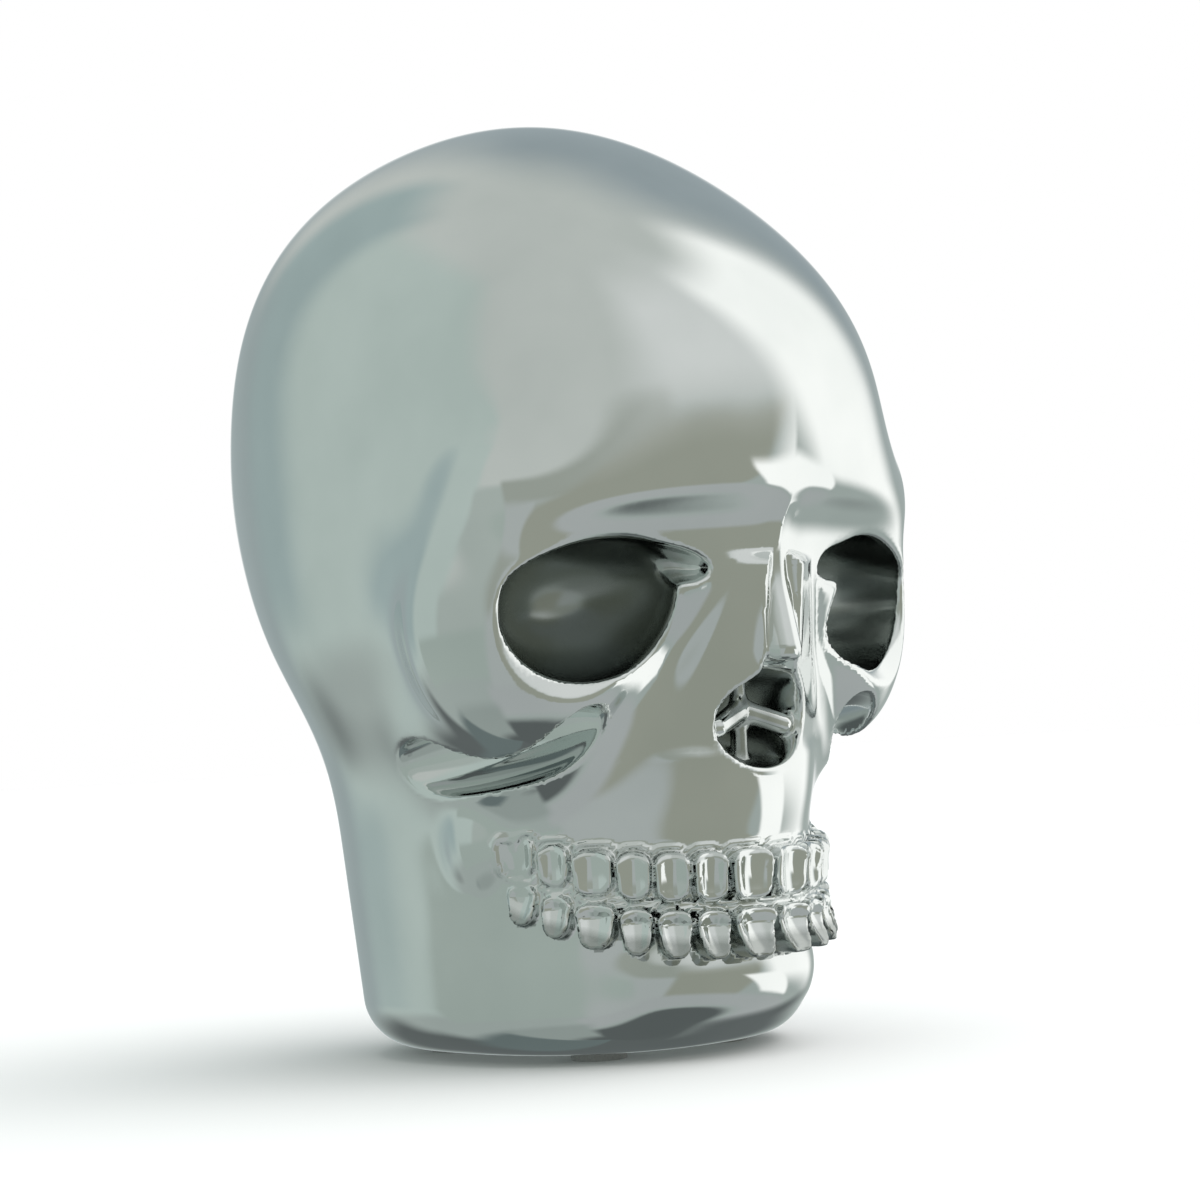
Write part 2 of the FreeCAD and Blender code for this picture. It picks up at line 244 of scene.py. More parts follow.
# ---------------------------------------------------------------- studio, in metres and degrees
CAMERA_AZIMUTH = -41.0
CAMERA_ELEVATION = -2.47
CAMERA_DISTANCE = 0.600
CAMERA_ROLL = -3.13
CAMERA_LENS = 95.61           # millimetres, on a sensor of the width below
SENSOR_WIDTH = 36.0
TARGET_Z = 0.0865
AIM_RIGHT = 0.01327           # how far beside and below the target the camera is aimed
AIM_DOWN = 0.00339
CLIP_START = 0.01
FLOOR_RADIUS = 4.0
FLOOR_CORNERS = 64
SUN_ENERGY = 2.1
SUN_ANGLE = 70.0              # a wide disc, for soft shadows
SUN_TILT = (10.0, 14.0, 0.0)

# What the mirror sees: azimuth, elevation, half width, half height, lean (degrees sideways per
# degree up), edge softness, and the colour it takes in the plating. Later ones lie over earlier ones.
PLATING = 0.72                # the part of the light that the plating sends back
ROOM_TINT = (176, 180, 177)
SURROUNDINGS = (
    (0, -30, 200, 42, 0.0, 8, (150, 158, 155)),         # floor in the distance
    (-140, 18, 42, 36, 0.0, 7, (167, 178, 174)),        # pale green wall on the left
    (-170, 26, 19, 34, 0.0, 8, (147, 161, 161)),        # its darker end
    (-82, -4, 22, 18, 0.0, 5, (156, 164, 160)),         # the camera's side of the room
    (-100, -17, 40, 12, 0.0, 3, (150, 160, 155)),
    (-45, -18, 16, 20, 0.0, 3, (158, 163, 162)),
    (-34, 9, 30, 10, -0.3, 4, (143, 148, 141)),
    (1, -17, 34, 27, 0.35, 4, (140, 143, 133)),         # beige card in front
    (18, 40, 36, 26, 0.0, 15, (198, 200, 199)),         # glow beside the softbox
    (71, 22, 29, 37, -0.2, 9, (243, 243, 241)),         # the softbox
    (54, -18, 16, 12, -0.9, 2.5, (244, 244, 242)),      # a bright strip below it
    (125, 35, 26, 26, 0.0, 14, (138, 148, 152)),        # grey-blue corner behind
    (160, 3, 24, 18, 0.0, 10, (143, 153, 154)),
    (139, 5, 9, 12, 0.0, 7, (240, 240, 240)),           # white backdrop behind the object
    (30, -45, 96, 11, 0.0, 4, (156, 160, 160)),         # table top, then its shaded middle
    (0, -79, 200, 18, 0.0, 4, (84, 89, 89)),
    (150, -60, 44, 40, 0.0, 10, (88, 93, 93)),          # the table's dark far side
    (-165, -70, 44, 22, 0.0, 5, (96, 106, 106)),
    (-95, -62, 34, 16, 0.0, 6, (138, 146, 143)),
)


# ---------------------------------------------------------------- field building blocks

def blend_min(a, b, blend):
    nearness = np.maximum(blend - np.abs(a - b), 0.0) / blend
    return np.minimum(a, b) - nearness * nearness * nearness * blend / 6.0


def blend_max(a, b, blend):
    return -blend_min(-a, -b, blend)


def box_corner(a, b):
    """The field of the corner where two faces meet, rounded on its outside."""
    return np.hypot(np.maximum(a, 0.0), np.maximum(b, 0.0)) + np.minimum(np.maximum(a, b), 0.0)


def ellipsoid(x, y, z, centre, radii):
    qx = (x - centre[0]) / radii[0]
    qy = (y - centre[1]) / radii[1]
    qz = (z - centre[2]) / radii[2]
    reach = np.sqrt(qx * qx + qy * qy + qz * qz) + TINY
    slope = np.sqrt((qx / radii[0]) ** 2 + (qy / radii[1]) ** 2 + (qz / radii[2]) ** 2) + TINY
    return reach * (reach - 1.0) / slope


def capsule(x, y, z, start, end, radii):
    axis = [end[i] - start[i] for i in range(3)]
    length2 = sum(c * c for c in axis)
    along = ((x - start[0]) * axis[0] + (y - start[1]) * axis[1] + (z - start[2]) * axis[2]) / length2
    along = np.clip(along, 0.0, 1.0)
    gap = np.sqrt((x - start[0] - along * axis[0]) ** 2 + (y - start[1] - along * axis[1]) ** 2
                  + (z - start[2] - along * axis[2]) ** 2)
    return gap - between(radii, along)


def between(ends, share):
    return ends[0] + (ends[1] - ends[0]) * share


def turned(x, y, z, centre, turn, dip):
    """Coordinates in axes turned about Z, with the local x axis then dipped downward."""
    qx, qy, qz = x - centre[0], y - centre[1], z - centre[2]
    ct, st = math.cos(math.radians(turn)), math.sin(math.radians(turn))
    cd, sd = math.cos(math.radians(dip)), math.sin(math.radians(dip))
    flat = qx * ct + qy * st
    return flat * cd - qz * sd, -qx * st + qy * ct, flat * sd + qz * cd


def turned_ellipsoid(x, y, z, centre, radii, turn, dip):
    lx, ly, lz = turned(x, y, z, centre, turn, dip)
    return ellipsoid(lx, ly, lz, (0.0, 0.0, 0.0), radii)


def between_levels(u, values):
    """The quartic through the five level values."""
    total = 0.0
    for i, value in enumerate(values):
        weight = value
        for j, level in enumerate(LEVELS):
            if j != i:
                weight = weight * (u - level) / (LEVELS[i] - level)
        total = total + weight
    return total


# ---------------------------------------------------------------- the skull

def head(x, y, z):
    qx, qy, qz = x - HEAD_CENTRE[0], y - HEAD_CENTRE[1], z - HEAD_CENTRE[2]
    reach = np.sqrt(qx * qx + qy * qy + qz * qz) + TINY
    ux, uy, uz = qx / reach, qy / reach, qz / reach
    side = 1.0 / between_levels(uz, HEAD_HALF_WIDTH) ** 2
    front = 1.0 / between_levels(uz, HEAD_FRONT) ** 2
    back = 1.0 / between_levels(uz, HEAD_BACK) ** 2
    upright = np.where(uz > 0, SHELL_HEIGHT - HEAD_CENTRE[2], HEAD_REACH_DOWN)
    fullness = HEAD_FULLNESS + FOREHEAD_FULLNESS * uy
    gauge = ux * ux * side + uy * uy * ((front + back) / 2 + uy * (back - front) / 2) + (uz / upright) ** 2
    gauge = gauge * (1.0 - 4.0 * fullness * ux * ux * uy * uy)
    return (reach - 1.0 / np.sqrt(gauge)) * HEAD_GROWTH


def jaw(x, y, z):
    growth = z / JAW_GROWTH_HEIGHT
    half_width = JAW_HALF_WIDTH[0] + JAW_HALF_WIDTH[1] * growth
    front = JAW_FRONT[0] + JAW_FRONT[1] * growth
    back = JAW_BACK[0] + JAW_BACK[1] * growth
    yy = y - (back - front) / 2
    half_depth = (back + front) / 2
    gauge = (np.abs(x) / half_width) ** JAW_POWER + (np.abs(yy) / half_depth) ** JAW_POWER
    gauge = gauge ** (1.0 / JAW_POWER) + TINY
    wall = np.hypot(x, yy) * (1.0 - 1.0 / gauge)
    return blend_max(wall, z - JAW_TOP, JAW_TOP_BLEND)


def rounded_base(d, z):
    return box_corner(d + BASE_ROUNDING, BASE_ROUNDING - z) - BASE_ROUNDING


def arch_angles():
    """Angles that place the teeth of one side next to each other along the arch."""
    samples = np.radians(np.linspace(0.0, ARCH_END_ANGLE, ARCH_SAMPLES))
    dx = ARCH_HALF_WIDTH * np.diff(np.sin(samples))
    dy = ARCH_DEPTH * np.diff(np.cos(samples))
    lengths = np.concatenate([[0.0], np.cumsum(np.hypot(dx, dy))])
    widths = np.array(TOOTH_WIDTHS)
    middles = np.cumsum(widths + TOOTH_SPACE) - (widths + TOOTH_SPACE) / 2
    return np.interp(middles, lengths, samples)


def along_arch(ax, y):
    """The angle along the arch of teeth, and the distance outside the arch."""
    turn = np.arctan2(ax / ARCH_HALF_WIDTH, (ARCH_CENTRE_Y - y) / ARCH_DEPTH)
    turn = np.clip(turn, 0.0, math.radians(ARCH_END_ANGLE + ARCH_MARGIN))
    out = (np.hypot(ax / ARCH_HALF_WIDTH, (y - ARCH_CENTRE_Y) / ARCH_DEPTH) - 1.0) * ARCH_MEAN_RADIUS
    return turn, out


def pillow(x, y, z, half, corner, edge):
    """A block seen along y, with corners of one radius, whose front edge has another."""
    plan = box_corner(np.abs(x) - (half[0] - corner), np.abs(z) - (half[2] - corner)) - corner
    return box_corner(plan + edge, np.abs(y) - (half[1] - edge)) - edge


def bite_height(angle):
    return BITE_Z + BITE_RISE * (angle / math.radians(ARCH_END_ANGLE)) ** 3


def tooth_pair(px, py, pz, angle, width):
    """The upper and the lower tooth at one place along the arch."""
    share = (angle / math.radians(ARCH_END_ANGLE)) ** 2
    cx, cy = ARCH_HALF_WIDTH * math.sin(angle), ARCH_CENTRE_Y - ARCH_DEPTH * math.cos(angle)
    facing = math.atan2(ARCH_DEPTH * math.sin(angle), ARCH_HALF_WIDTH * math.cos(angle))
    bite = bite_height(angle)
    qx, qy = px - cx, py - cy
    lx = qx * math.cos(facing) + qy * math.sin(facing)
    ly = -qx * math.sin(facing) + qy * math.cos(facing)
    dish = TOOTH_DISH * (2.0 * lx / width) ** 2

    upper_half = between(UPPER_HALF_HEIGHT, share)
    lz = pz - (bite + BITE_HALF_GAP + upper_half)
    half = (width / 2, TOOTH_HALF_DEPTH, upper_half)
    across = lx * (1.0 - UPPER_TAPER * lz)
    depth = ly + dish + UPPER_CURVE * (lz - UPPER_CURVE_Z) ** 2 - UPPER_SET_BACK
    upper = pillow(across, depth, lz, half, TOOTH_CORNER, UPPER_TOOTH_EDGE)

    lower_half = between(LOWER_HALF_HEIGHT, share)
    lz = pz - (bite - BITE_HALF_GAP - lower_half)
    half = (width / 2, TOOTH_HALF_DEPTH, lower_half)
    across = lx * (1.0 - LOWER_TAPER * (lz - LOWER_TAPER_Z))
    up, down = np.maximum(lz - LOWER_LEAN_Z, 0.0), np.maximum(LOWER_LEAN_Z - lz, 0.0)
    lean = LOWER_LEAN_UP * up + LOWER_LEAN_DOWN * down + LOWER_CURVE_DOWN * down * down
    depth = ly - LOWER_SET_BACK + lean + dish
    lower = pillow(across, depth, lz, half, TOOTH_CORNER, LOWER_TOOTH_EDGE)
    return upper, lower


def teeth(ax, y, z):
    """Upper row, lower row, and the ridges at the bite line; read only near the mouth."""
    upper_row, lower_row, ridge = [np.full(ax.shape, FAR) for _ in range(3)]
    near = (z > TEETH_BOTTOM_Z) & (z < TEETH_TOP_Z) & (y < TEETH_BACK_Y)
    px, py, pz = ax[near], y[near], z[near]
    upper, lower = np.full(px.shape, FAR), np.full(px.shape, FAR)
    for angle, width in zip(arch_angles(), TOOTH_WIDTHS):
        one_upper, one_lower = tooth_pair(px, py, pz, angle, width)
        upper = np.minimum(upper, one_upper)
        lower = np.minimum(lower, one_lower)
    upper_row[near] = upper
    lower_row[near] = lower
    turn, out = along_arch(px, py)
    rise = np.abs(pz - bite_height(turn)) - BITE_RIDGE_RISE
    ridge[near] = np.hypot(rise, out + BITE_RIDGE_SET_BACK) - BITE_RIDGE_RADIUS
    return upper_row, lower_row, ridge


def with_facet(d, ax, y, z):
    """Replaces the surface by a plane beside the nose."""
    plane = FACET_NORMAL[0] * ax + FACET_NORMAL[1] * y + FACET_NORMAL[2] * z - FACET_OFFSET
    outer = FACET_OUTER_SLOPE * ax - FACET_OUTER_LEAN * (FACET_ROOT_Z - z) - FACET_OUTER_OFFSET
    bottom = (FACET_BOTTOM_Z - z) * FACET_BOTTOM_SLOPE
    outside = np.maximum.reduce([outer, bottom, FACET_INNER_X - ax, z - FACET_TOP_Z, y - FACET_BACK_Y])
    share = np.clip(0.5 - outside / FACET_EDGE, 0.0, 1.0)
    share = share * share * (3.0 - 2.0 * share)
    return d + (plane - d) * share


def sockets(ax, y, z):
    """Eye sockets, each with an inner corner drawn out towards the nose."""
    socket = turned_ellipsoid(ax, y, z, EYE_CENTRE, EYE_RADII, EYE_TURN, EYE_DIP)
    roof = z - EYE_ROOF_Z + EYE_ROOF_ARCH * (ax - EYE_ROOF_X) ** 2
    socket = blend_max(socket, roof, EYE_ROOF_BLEND)
    corner = turned_ellipsoid(ax, y, z, EYE_CORNER_CENTRE, EYE_CORNER_RADII, EYE_CORNER_TURN, EYE_CORNER_DIP)
    return blend_min(socket, corner, EYE_CORNER_BLEND)


def nose_opening(x, y, z):
    wide = ellipsoid(x, y, z, NOSTRIL_CENTRE, NOSTRIL_RADII)
    peak = ellipsoid(x, y, z, NOSTRIL_PEAK_CENTRE, NOSTRIL_PEAK_RADII)
    return blend_min(wide, peak, NOSTRIL_PEAK_BLEND)


def bare_form(x, y, z):
    """The skull before its hollows and teeth."""
    ax = np.abs(x)
    d = blend_min(head(x, y, z), jaw(x, y, z), JAW_BLEND)
    cheek = turned_ellipsoid(ax, y, z, CHEEK_CENTRE, CHEEK_RADII, CHEEK_TURN, 0.0)
    d = blend_min(d, cheek, CHEEK_BLEND)
    d = blend_min(d, ellipsoid(ax, y, z, JAW_SIDE_CENTRE, JAW_SIDE_RADII), JAW_SIDE_BLEND)
    d = blend_min(d, ellipsoid(x, y, z, UPPER_JAW_CENTRE, UPPER_JAW_RADII), UPPER_JAW_BLEND)
    d = blend_min(d, capsule(ax, y, z, BROW_INNER, BROW_OUTER, BROW_RADIUS), BROW_BLEND)
    under_brow = capsule(ax, y, z, UNDER_BROW_INNER, UNDER_BROW_OUTER, UNDER_BROW_RADIUS)
    d = blend_max(d, -under_brow, UNDER_BROW_BLEND)
    d = with_facet(d, ax, y, z)
    d = blend_min(d, capsule(x, y, z, NOSE_TOP, NOSE_TIP, NOSE_RADIUS), NOSE_BLEND)
    d = blend_min(d, ellipsoid(x, y, z, MOUTH_CENTRE, MOUTH_RADII), MOUTH_BLEND)
    d = blend_min(d, ellipsoid(x, y, z, CHIN_CENTRE, CHIN_RADII), CHIN_BLEND)
    d = blend_min(d, ellipsoid(ax, y, z, MOUTH_CORNER_CENTRE, MOUTH_CORNER_RADII), MOUTH_CORNER_BLEND)
    return rounded_base(d, z)


def with_face_hollows(d, x, y, z):
    """Sockets with a lip below them, the nose opening with its folds, and the hollows under the cheeks."""
    ax = np.abs(x)
    d = blend_max(d, -sockets(ax, y, z), EYE_EDGE)
    lip = turned_ellipsoid(ax, y, z, EYE_LIP_CENTRE, EYE_LIP_RADII, EYE_TURN, EYE_DIP)
    d = blend_max(d, -blend_max(lip, z - EYE_LIP_TOP_Z, EYE_LIP_BLEND), EYE_LIP_EDGE)
    d = blend_max(d, -nose_opening(x, y, z), NOSTRIL_EDGE)
    fold = capsule(ax, y, z, NOSE_FOLD_INNER, NOSE_FOLD_OUTER, NOSE_FOLD_RADIUS)
    d = blend_min(d, fold, NOSE_INSIDE_BLEND)
    wall = capsule(x, y, z, NOSE_WALL_BOTTOM, NOSE_WALL_TOP, NOSE_WALL_RADIUS)
    d = blend_min(d, wall, NOSE_INSIDE_BLEND)
    hollow = turned_ellipsoid(ax, y, z, CHEEK_HOLLOW_CENTRE, CHEEK_HOLLOW_RADII,
                              CHEEK_HOLLOW_TURN, CHEEK_HOLLOW_DIP)
    return blend_max(d, -hollow, CHEEK_HOLLOW_EDGE)


def with_teeth(d, x, y, z):
    """Both rows, with a gum line above the upper one and fine ridges where they meet."""
    upper, lower, ridge = teeth(np.abs(x), y, z)
    gum_line = np.hypot(upper - GUM_RIDGE_AWAY, d) - GUM_RIDGE_RADIUS
    d = blend_min(d, np.where(z > GUM_RIDGE_LOWEST_Z, gum_line, FAR), GUM_RIDGE_BLEND)
    d = blend_min(d, np.minimum(upper, lower), TEETH_BLEND)
    return blend_min(d, ridge, BITE_RIDGE_BLEND)


def with_underside(d, x, y, z):
    """A recess inside the foot rim, and the vent above it."""
    across, along = x, y - BASE_MIDDLE_Y
    recess = (np.hypot(across / RECESS_HALF_WIDTH, along / RECESS_HALF_DEPTH) - 1.0) * RECESS_HALF_WIDTH
    d = blend_max(d, -np.maximum(recess, z - RECESS_HEIGHT), RECESS_EDGE)
    vent = np.maximum(np.hypot(across, along) - VENT_RADIUS, z - VENT_TOP)
    return blend_max(d, -vent, VENT_EDGE)


def skull(x, y, z):
    d = bare_form(x, y, z)
    d = with_face_hollows(d, x, y, z)
    d = with_teeth(d, x, y, z)
    return with_underside(d, x, y, z)


def painted_shade_depth(points):
    """How far each point is below the bare form in a hollow, or down in a groove between teeth, which sets
    how much painted shade darkens the plating there.
    """
    x, y, z = points.T
    ax = np.abs(x)
    hollow = np.minimum(sockets(ax, y, z), nose_opening(x, y, z))
    depth = np.where(hollow < HOLLOW_MARGIN, np.maximum(-bare_form(x, y, z), 0.0), 0.0)
    upper, lower, ridge = teeth(ax, y, z)
    turn, out = along_arch(ax, y)
    groove = np.maximum(GROOVE_START - out, 0.0) * GROOVE_SHADE
    groove = np.where(np.minimum(upper, lower) < TOOTH_MARGIN, groove, 0.0)
    underside = np.maximum(bite_height(turn) - UNDERSIDE_DROP - z, 0.0) * UNDERSIDE_SHADE
    underside = np.where(lower < TOOTH_MARGIN, underside, 0.0)
    return np.maximum(depth, np.maximum(groove, underside))


# ---------------------------------------------------------------- field to mesh

def steps(*stretches):
    """Grid lines: each stretch is (from, to, step)."""
    lines = []
    for low, high, step in stretches:
        lines.append(np.linspace(low, high, int(round((high - low) / step)), endpoint=False))
    return np.append(np.concatenate(lines), stretches[-1][1])


def grid_lines(coarse, fine, finest):
    half = steps((0.0, GRID_HALF_WIDTH, fine))
    xs = np.concatenate([-half[:0:-1], half])
    ys = steps((GRID_FRONT, GRID_FACE_BACK, fine * FACE_STEP_SHARE), (GRID_FACE_BACK, GRID_BACK, coarse))
    zs = steps((GRID_BOTTOM, GRID_FINEST_BOTTOM, fine),
               (GRID_FINEST_BOTTOM, GRID_FINEST_TOP, finest),
               (GRID_FINEST_TOP, GRID_FACE_TOP, fine * UPPER_FACE_STEP_SHARE),
               (GRID_FACE_TOP, GRID_TOP, coarse))
    return xs, ys, zs


def field_on_grid(xs, ys, zs):
    """The skull's field, worked out on the +X half and mirrored."""
    values = np.empty((len(xs), len(ys), len(zs)))
    yy, zz = np.meshgrid(ys, zs, indexing="ij")
    half = len(xs) // 2
    for i in range(half, len(xs)):
        slab = skull(np.full(yy.size, xs[i]), yy.ravel(), zz.ravel()).reshape(yy.shape)
        values[i] = slab
        values[len(xs) - 1 - i] = slab
    return values


def surface_cells(values):
    """Which grid points are inside, and which cells the surface passes through."""
    inside = values < 0
    corners = np.zeros(tuple(n - 1 for n in values.shape), dtype=np.int8)
    nx, ny, nz = values.shape
    for i in (0, 1):
        for j in (0, 1):
            for k in (0, 1):
                corners += inside[i:nx - 1 + i, j:ny - 1 + j, k:nz - 1 + k]
    return inside, (corners > 0) & (corners < 8)


def crossing_means(values, xs, ys, zs, cells):
    """For each cell, the mean of the points where its edges cross the surface."""
    lines = (xs, ys, zs)
    total = np.zeros((len(cells), 3))
    count = np.zeros(len(cells))
    for axis in range(3):
        others = [a for a in range(3) if a != axis]
        for u in (0, 1):
            for v in (0, 1):
                a = cells.copy()
                a[:, others[0]] += u
                a[:, others[1]] += v
                b = a.copy()
                b[:, axis] += 1
                va, vb = values[tuple(a.T)], values[tuple(b.T)]
                cut = (va < 0) != (vb < 0)
                t = np.where(cut, va / np.where(cut, va - vb, 1.0), 0.0)
                point = np.stack([lines[c][a[:, c]] for c in range(3)], axis=1)
                point[:, axis] += t * (lines[axis][b[:, axis]] - lines[axis][a[:, axis]])
                total += point * cut[:, None]
                count += cut
    return total / count[:, None]


def quads_between(inside, index):
    """One face for each grid edge that crosses the surface, joining the four cells around it."""
    faces = []
    for axis in range(3):
        u, v = [a for a in range(3) if a != axis]
        low = [slice(None)] * 3
        high = [slice(None)] * 3
        low[axis], high[axis] = slice(0, -1), slice(1, None)
        change = inside[tuple(low)] != inside[tuple(high)]
        edges = np.argwhere(change)
        edges = edges[(edges[:, u] > 0) & (edges[:, v] > 0)
                      & (edges[:, u] < inside.shape[u] - 1) & (edges[:, v] < inside.shape[v] - 1)]
        ring = []
        for du, dv in ((-1, -1), (0, -1), (0, 0), (-1, 0)):
            cell = edges.copy()
            cell[:, u] += du
            cell[:, v] += dv
            ring.append(index[tuple(cell.T)])
        quad = np.stack(ring, axis=1)
        outward = inside[tuple(edges.T)]
        if axis == 1:
            outward = ~outward
        faces.append(np.where(outward[:, None], quad, quad[:, ::-1]))
    return np.concatenate(faces)


def gradient(points, step):
    parts = []
    for axis in range(3):
        shift = np.zeros(3)
        shift[axis] = step
        a, b = points + shift, points - shift
        parts.append((skull(*a.T) - skull(*b.T)) / (2 * step))
    return np.stack(parts, axis=1)


def settle(points, rounds, limit):
    """Moves points along the field's slope on to the surface."""
    for _ in range(rounds):
        slope = gradient(points, SETTLE_STEP)
        size2 = np.maximum((slope * slope).sum(axis=1), LEAST_SLOPE_SQUARED)
        move = (skull(*points.T) / size2)[:, None] * slope
        length = np.linalg.norm(move, axis=1, keepdims=True)
        points = points - move * np.minimum(1.0, limit / np.maximum(length, TINY))
    return points


def skull_mesh():
    """Points, normals and four-sided faces of the skull's surface."""
    coarse, fine, finest = GRID_STEPS
    xs, ys, zs = grid_lines(coarse, fine, finest)
    values = field_on_grid(xs, ys, zs)
    inside, active = surface_cells(values)
    cells = np.argwhere(active)
    index = np.full(active.shape, -1)
    index[tuple(cells.T)] = np.arange(len(cells))
    points = settle(crossing_means(values, xs, ys, zs, cells), SETTLE_ROUNDS, fine * 0.5)
    faces = quads_between(inside, index)
    slope = gradient(points, NORMAL_STEP)
    normals = slope / np.maximum(np.linalg.norm(slope, axis=1, keepdims=True), TINY)
    return points, normals, faces


def skull_object():
    points, normals, faces = skull_mesh()
    low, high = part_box("skull_shell")
    shift = np.array([(low[0] + high[0]) / 2, (low[1] + high[1]) / 2 - SKULL_MIDDLE_Y * MM, low[2]])
    mesh = bpy.data.meshes.new("mirror_skull")
    mesh.vertices.add(len(points))
    mesh.vertices.foreach_set("co", (points * MM + shift).astype(np.float32).ravel())
    mesh.loops.add(faces.size)
    mesh.loops.foreach_set("vertex_index", faces.astype(np.int32).ravel())
    mesh.polygons.add(len(faces))
    mesh.polygons.foreach_set("loop_start", np.arange(0, faces.size, 4, dtype=np.int32))
    mesh.polygons.foreach_set("use_smooth", np.ones(len(faces), dtype=bool))
    mesh.update(calc_edges=True)
    mesh.validate()
    mesh.normals_split_custom_set_from_vertices(normals.tolist())
    # how deep each point lies in a hollow or groove, which sets the painted shade in the plating
    depth = mesh.attributes.new("painted_shade_depth", "FLOAT", "POINT")
    depth.data.foreach_set("value", painted_shade_depth(points).astype(np.float32))
    piece = bpy.data.objects.new("mirror_skull", mesh)
    bpy.context.scene.collection.objects.link(piece)
    return piece


# ---------------------------------------------------------------- material building blocks

def new_material(name):
    material = bpy.data.materials.new(name)
    material.use_nodes = True
    nodes, links = material.node_tree.nodes, material.node_tree.links
    return material, nodes, links, nodes["Principled BSDF"]


def noise(nodes, links, place, scale, detail, roughness=0.5):
    texture = nodes.new("ShaderNodeTexNoise")
    texture.inputs["Scale"].default_value = scale
    texture.inputs["Detail"].default_value = detail
    texture.inputs["Roughness"].default_value = roughness
    links.new(place.outputs["Object"], texture.inputs["Vector"])
    return texture.outputs["Fac"]


def map_range(nodes, links, source, low, high, to_low, to_high):
    node = nodes.new("ShaderNodeMapRange")
    node.inputs["From Min"].default_value = low
    node.inputs["From Max"].default_value = high
    node.inputs["To Min"].default_value = to_low
    node.inputs["To Max"].default_value = to_high
    links.new(source, node.inputs["Value"])
    return node


def ramp(nodes, links, source, *stops):
    """A colour ramp; each stop is a position and a colour."""
    node = nodes.new("ShaderNodeValToRGB")
    for element, (position, colour) in zip(node.color_ramp.elements, stops):
        element.position = position
        element.color = (*colour, 1.0)
    links.new(source, node.inputs["Fac"])
    return node.outputs["Color"]


def calculation(nodes, links, operation, *values):
    node = nodes.new("ShaderNodeMath")
    node.operation = operation
    for i, value in enumerate(values):
        if isinstance(value, (int, float)):
            node.inputs[i].default_value = value
        else:
            links.new(value, node.inputs[i])
    return node.outputs[0]


def bump(nodes, links, height, strength, distance, under=None):
    node = nodes.new("ShaderNodeBump")
    node.inputs["Strength"].default_value = strength
    node.inputs["Distance"].default_value = distance
    links.new(height, node.inputs["Height"])
    if under is not None:
        links.new(under, node.inputs["Normal"])
    return node.outputs["Normal"]


# ---------------------------------------------------------------- materials

def mirror_glaze():
    """Silver plating over glaze, a little uneven, rougher deep in the hollows and darkened there with
    painted shade.
    """
    material, nodes, links, shader = new_material("mirror_glaze")
    place = nodes.new("ShaderNodeTexCoord")
    shader.inputs["Metallic"].default_value = 1.0
    clouds = noise(nodes, links, place, scale=38.0, detail=3.0)
    silver = ramp(nodes, links, clouds, (0.35, (0.68, 0.71, 0.70)), (0.65, (0.74, 0.765, 0.755)))

    depth = nodes.new("ShaderNodeAttribute")
    depth.attribute_name = "painted_shade_depth"
    patchy = noise(nodes, links, place, scale=170.0, detail=5.0, roughness=0.6)
    edge = calculation(nodes, links, "MULTIPLY_ADD", patchy, 4.0, depth.outputs["Fac"])
    shade_and_roughness = map_range(nodes, links, edge, 5.0, 8.0, 0.0, 1.0).outputs["Result"]
    # painted shade: the plating's colour is mixed towards this dark grey deep in the hollows, between the
    # teeth and under them
    painted_shade = nodes.new("ShaderNodeMixRGB")
    painted_shade.inputs["Color2"].default_value = (0.40, 0.425, 0.41, 1.0)
    links.new(silver, painted_shade.inputs["Color1"])
    links.new(shade_and_roughness, painted_shade.inputs["Fac"])
    links.new(painted_shade.outputs["Color"], shader.inputs["Base Color"])

    blur = noise(nodes, links, place, scale=60.0, detail=4.0)
    rough = map_range(nodes, links, blur, 0.3, 0.75, 0.035, 0.085).outputs["Result"]
    rough = calculation(nodes, links, "MULTIPLY_ADD", shade_and_roughness, 0.16, rough)
    links.new(rough, shader.inputs["Roughness"])

    wave = noise(nodes, links, place, scale=26.0, detail=1.0)
    peel = noise(nodes, links, place, scale=420.0, detail=2.0)
    slow = bump(nodes, links, wave, strength=1.0, distance=0.00022)
    fine = bump(nodes, links, peel, strength=1.0, distance=0.0000035, under=slow)
    links.new(fine, shader.inputs["Normal"])
    return material


def felt():
    material, nodes, links, shader = new_material("pad_felt")
    place = nodes.new("ShaderNodeTexCoord")
    fibre = noise(nodes, links, place, scale=2200.0, detail=6.0, roughness=0.7)
    grey = ramp(nodes, links, fibre, (0.0, (0.30, 0.30, 0.295)), (1.0, (0.52, 0.52, 0.51)))
    links.new(grey, shader.inputs["Base Color"])
    shader.inputs["Roughness"].default_value = 0.95
    shader.inputs["Sheen Weight"].default_value = 0.4
    links.new(bump(nodes, links, fibre, strength=0.8, distance=0.0003), shader.inputs["Normal"])
    return material


def floor_paper():
    material, nodes, links, shader = new_material("floor_paper")
    shader.inputs["Base Color"].default_value = (0.86, 0.86, 0.86, 1.0)
    shader.inputs["Roughness"].default_value = 0.9
    return material


# ---------------------------------------------------------------- studio

def direction(azimuth, elevation):
    """Unit vector from the object; azimuth 0 is in front of the face, and + is towards +X."""
    a, e = math.radians(azimuth), math.radians(elevation)
    return Vector((math.sin(a) * math.cos(e), -math.cos(a) * math.cos(e), math.sin(e)))


def linear(red, green, blue):
    """The light that shows as this colour, out of 255, after the plating has taken its part."""
    return (*[((c / 255.0 + 0.055) / 1.055) ** 2.4 / PLATING for c in (red, green, blue)], 1.0)


